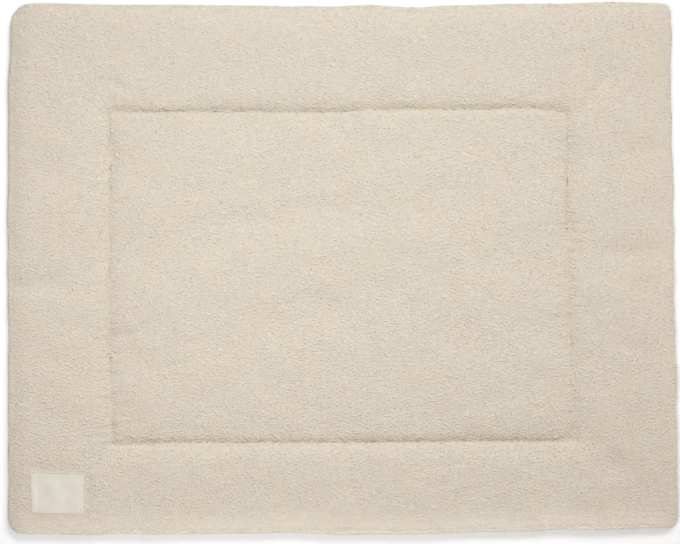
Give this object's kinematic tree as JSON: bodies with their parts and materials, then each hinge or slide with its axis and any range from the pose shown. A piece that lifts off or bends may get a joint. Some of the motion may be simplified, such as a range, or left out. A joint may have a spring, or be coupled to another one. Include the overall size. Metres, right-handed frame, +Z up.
{
  "type": "playpen mat",
  "caption": "Rectangular padded playpen mat with a curly-pile top, an inner rectangle of quilting that raises its border, and a small blank cloth label near a corner.",
  "frame": {"origin": "on the floor, under the middle of the mat's outline", "axes": "+X along the long sides, towards the right as the picture shows the mat; +Y towards the back edge, which is at the top of the picture; +Z up, out of the pile"},
  "size_m": [0.956, 0.7584, 0.0266],
  "materials": {
    "padded_body": "cream curly-pile fleece, matt",
    "label": "off-white woven cotton, matt"
  },
  "bodies": {
    "root": {"padded_body": "padded_body", "label": "label"}
  },
  "joints": []
}
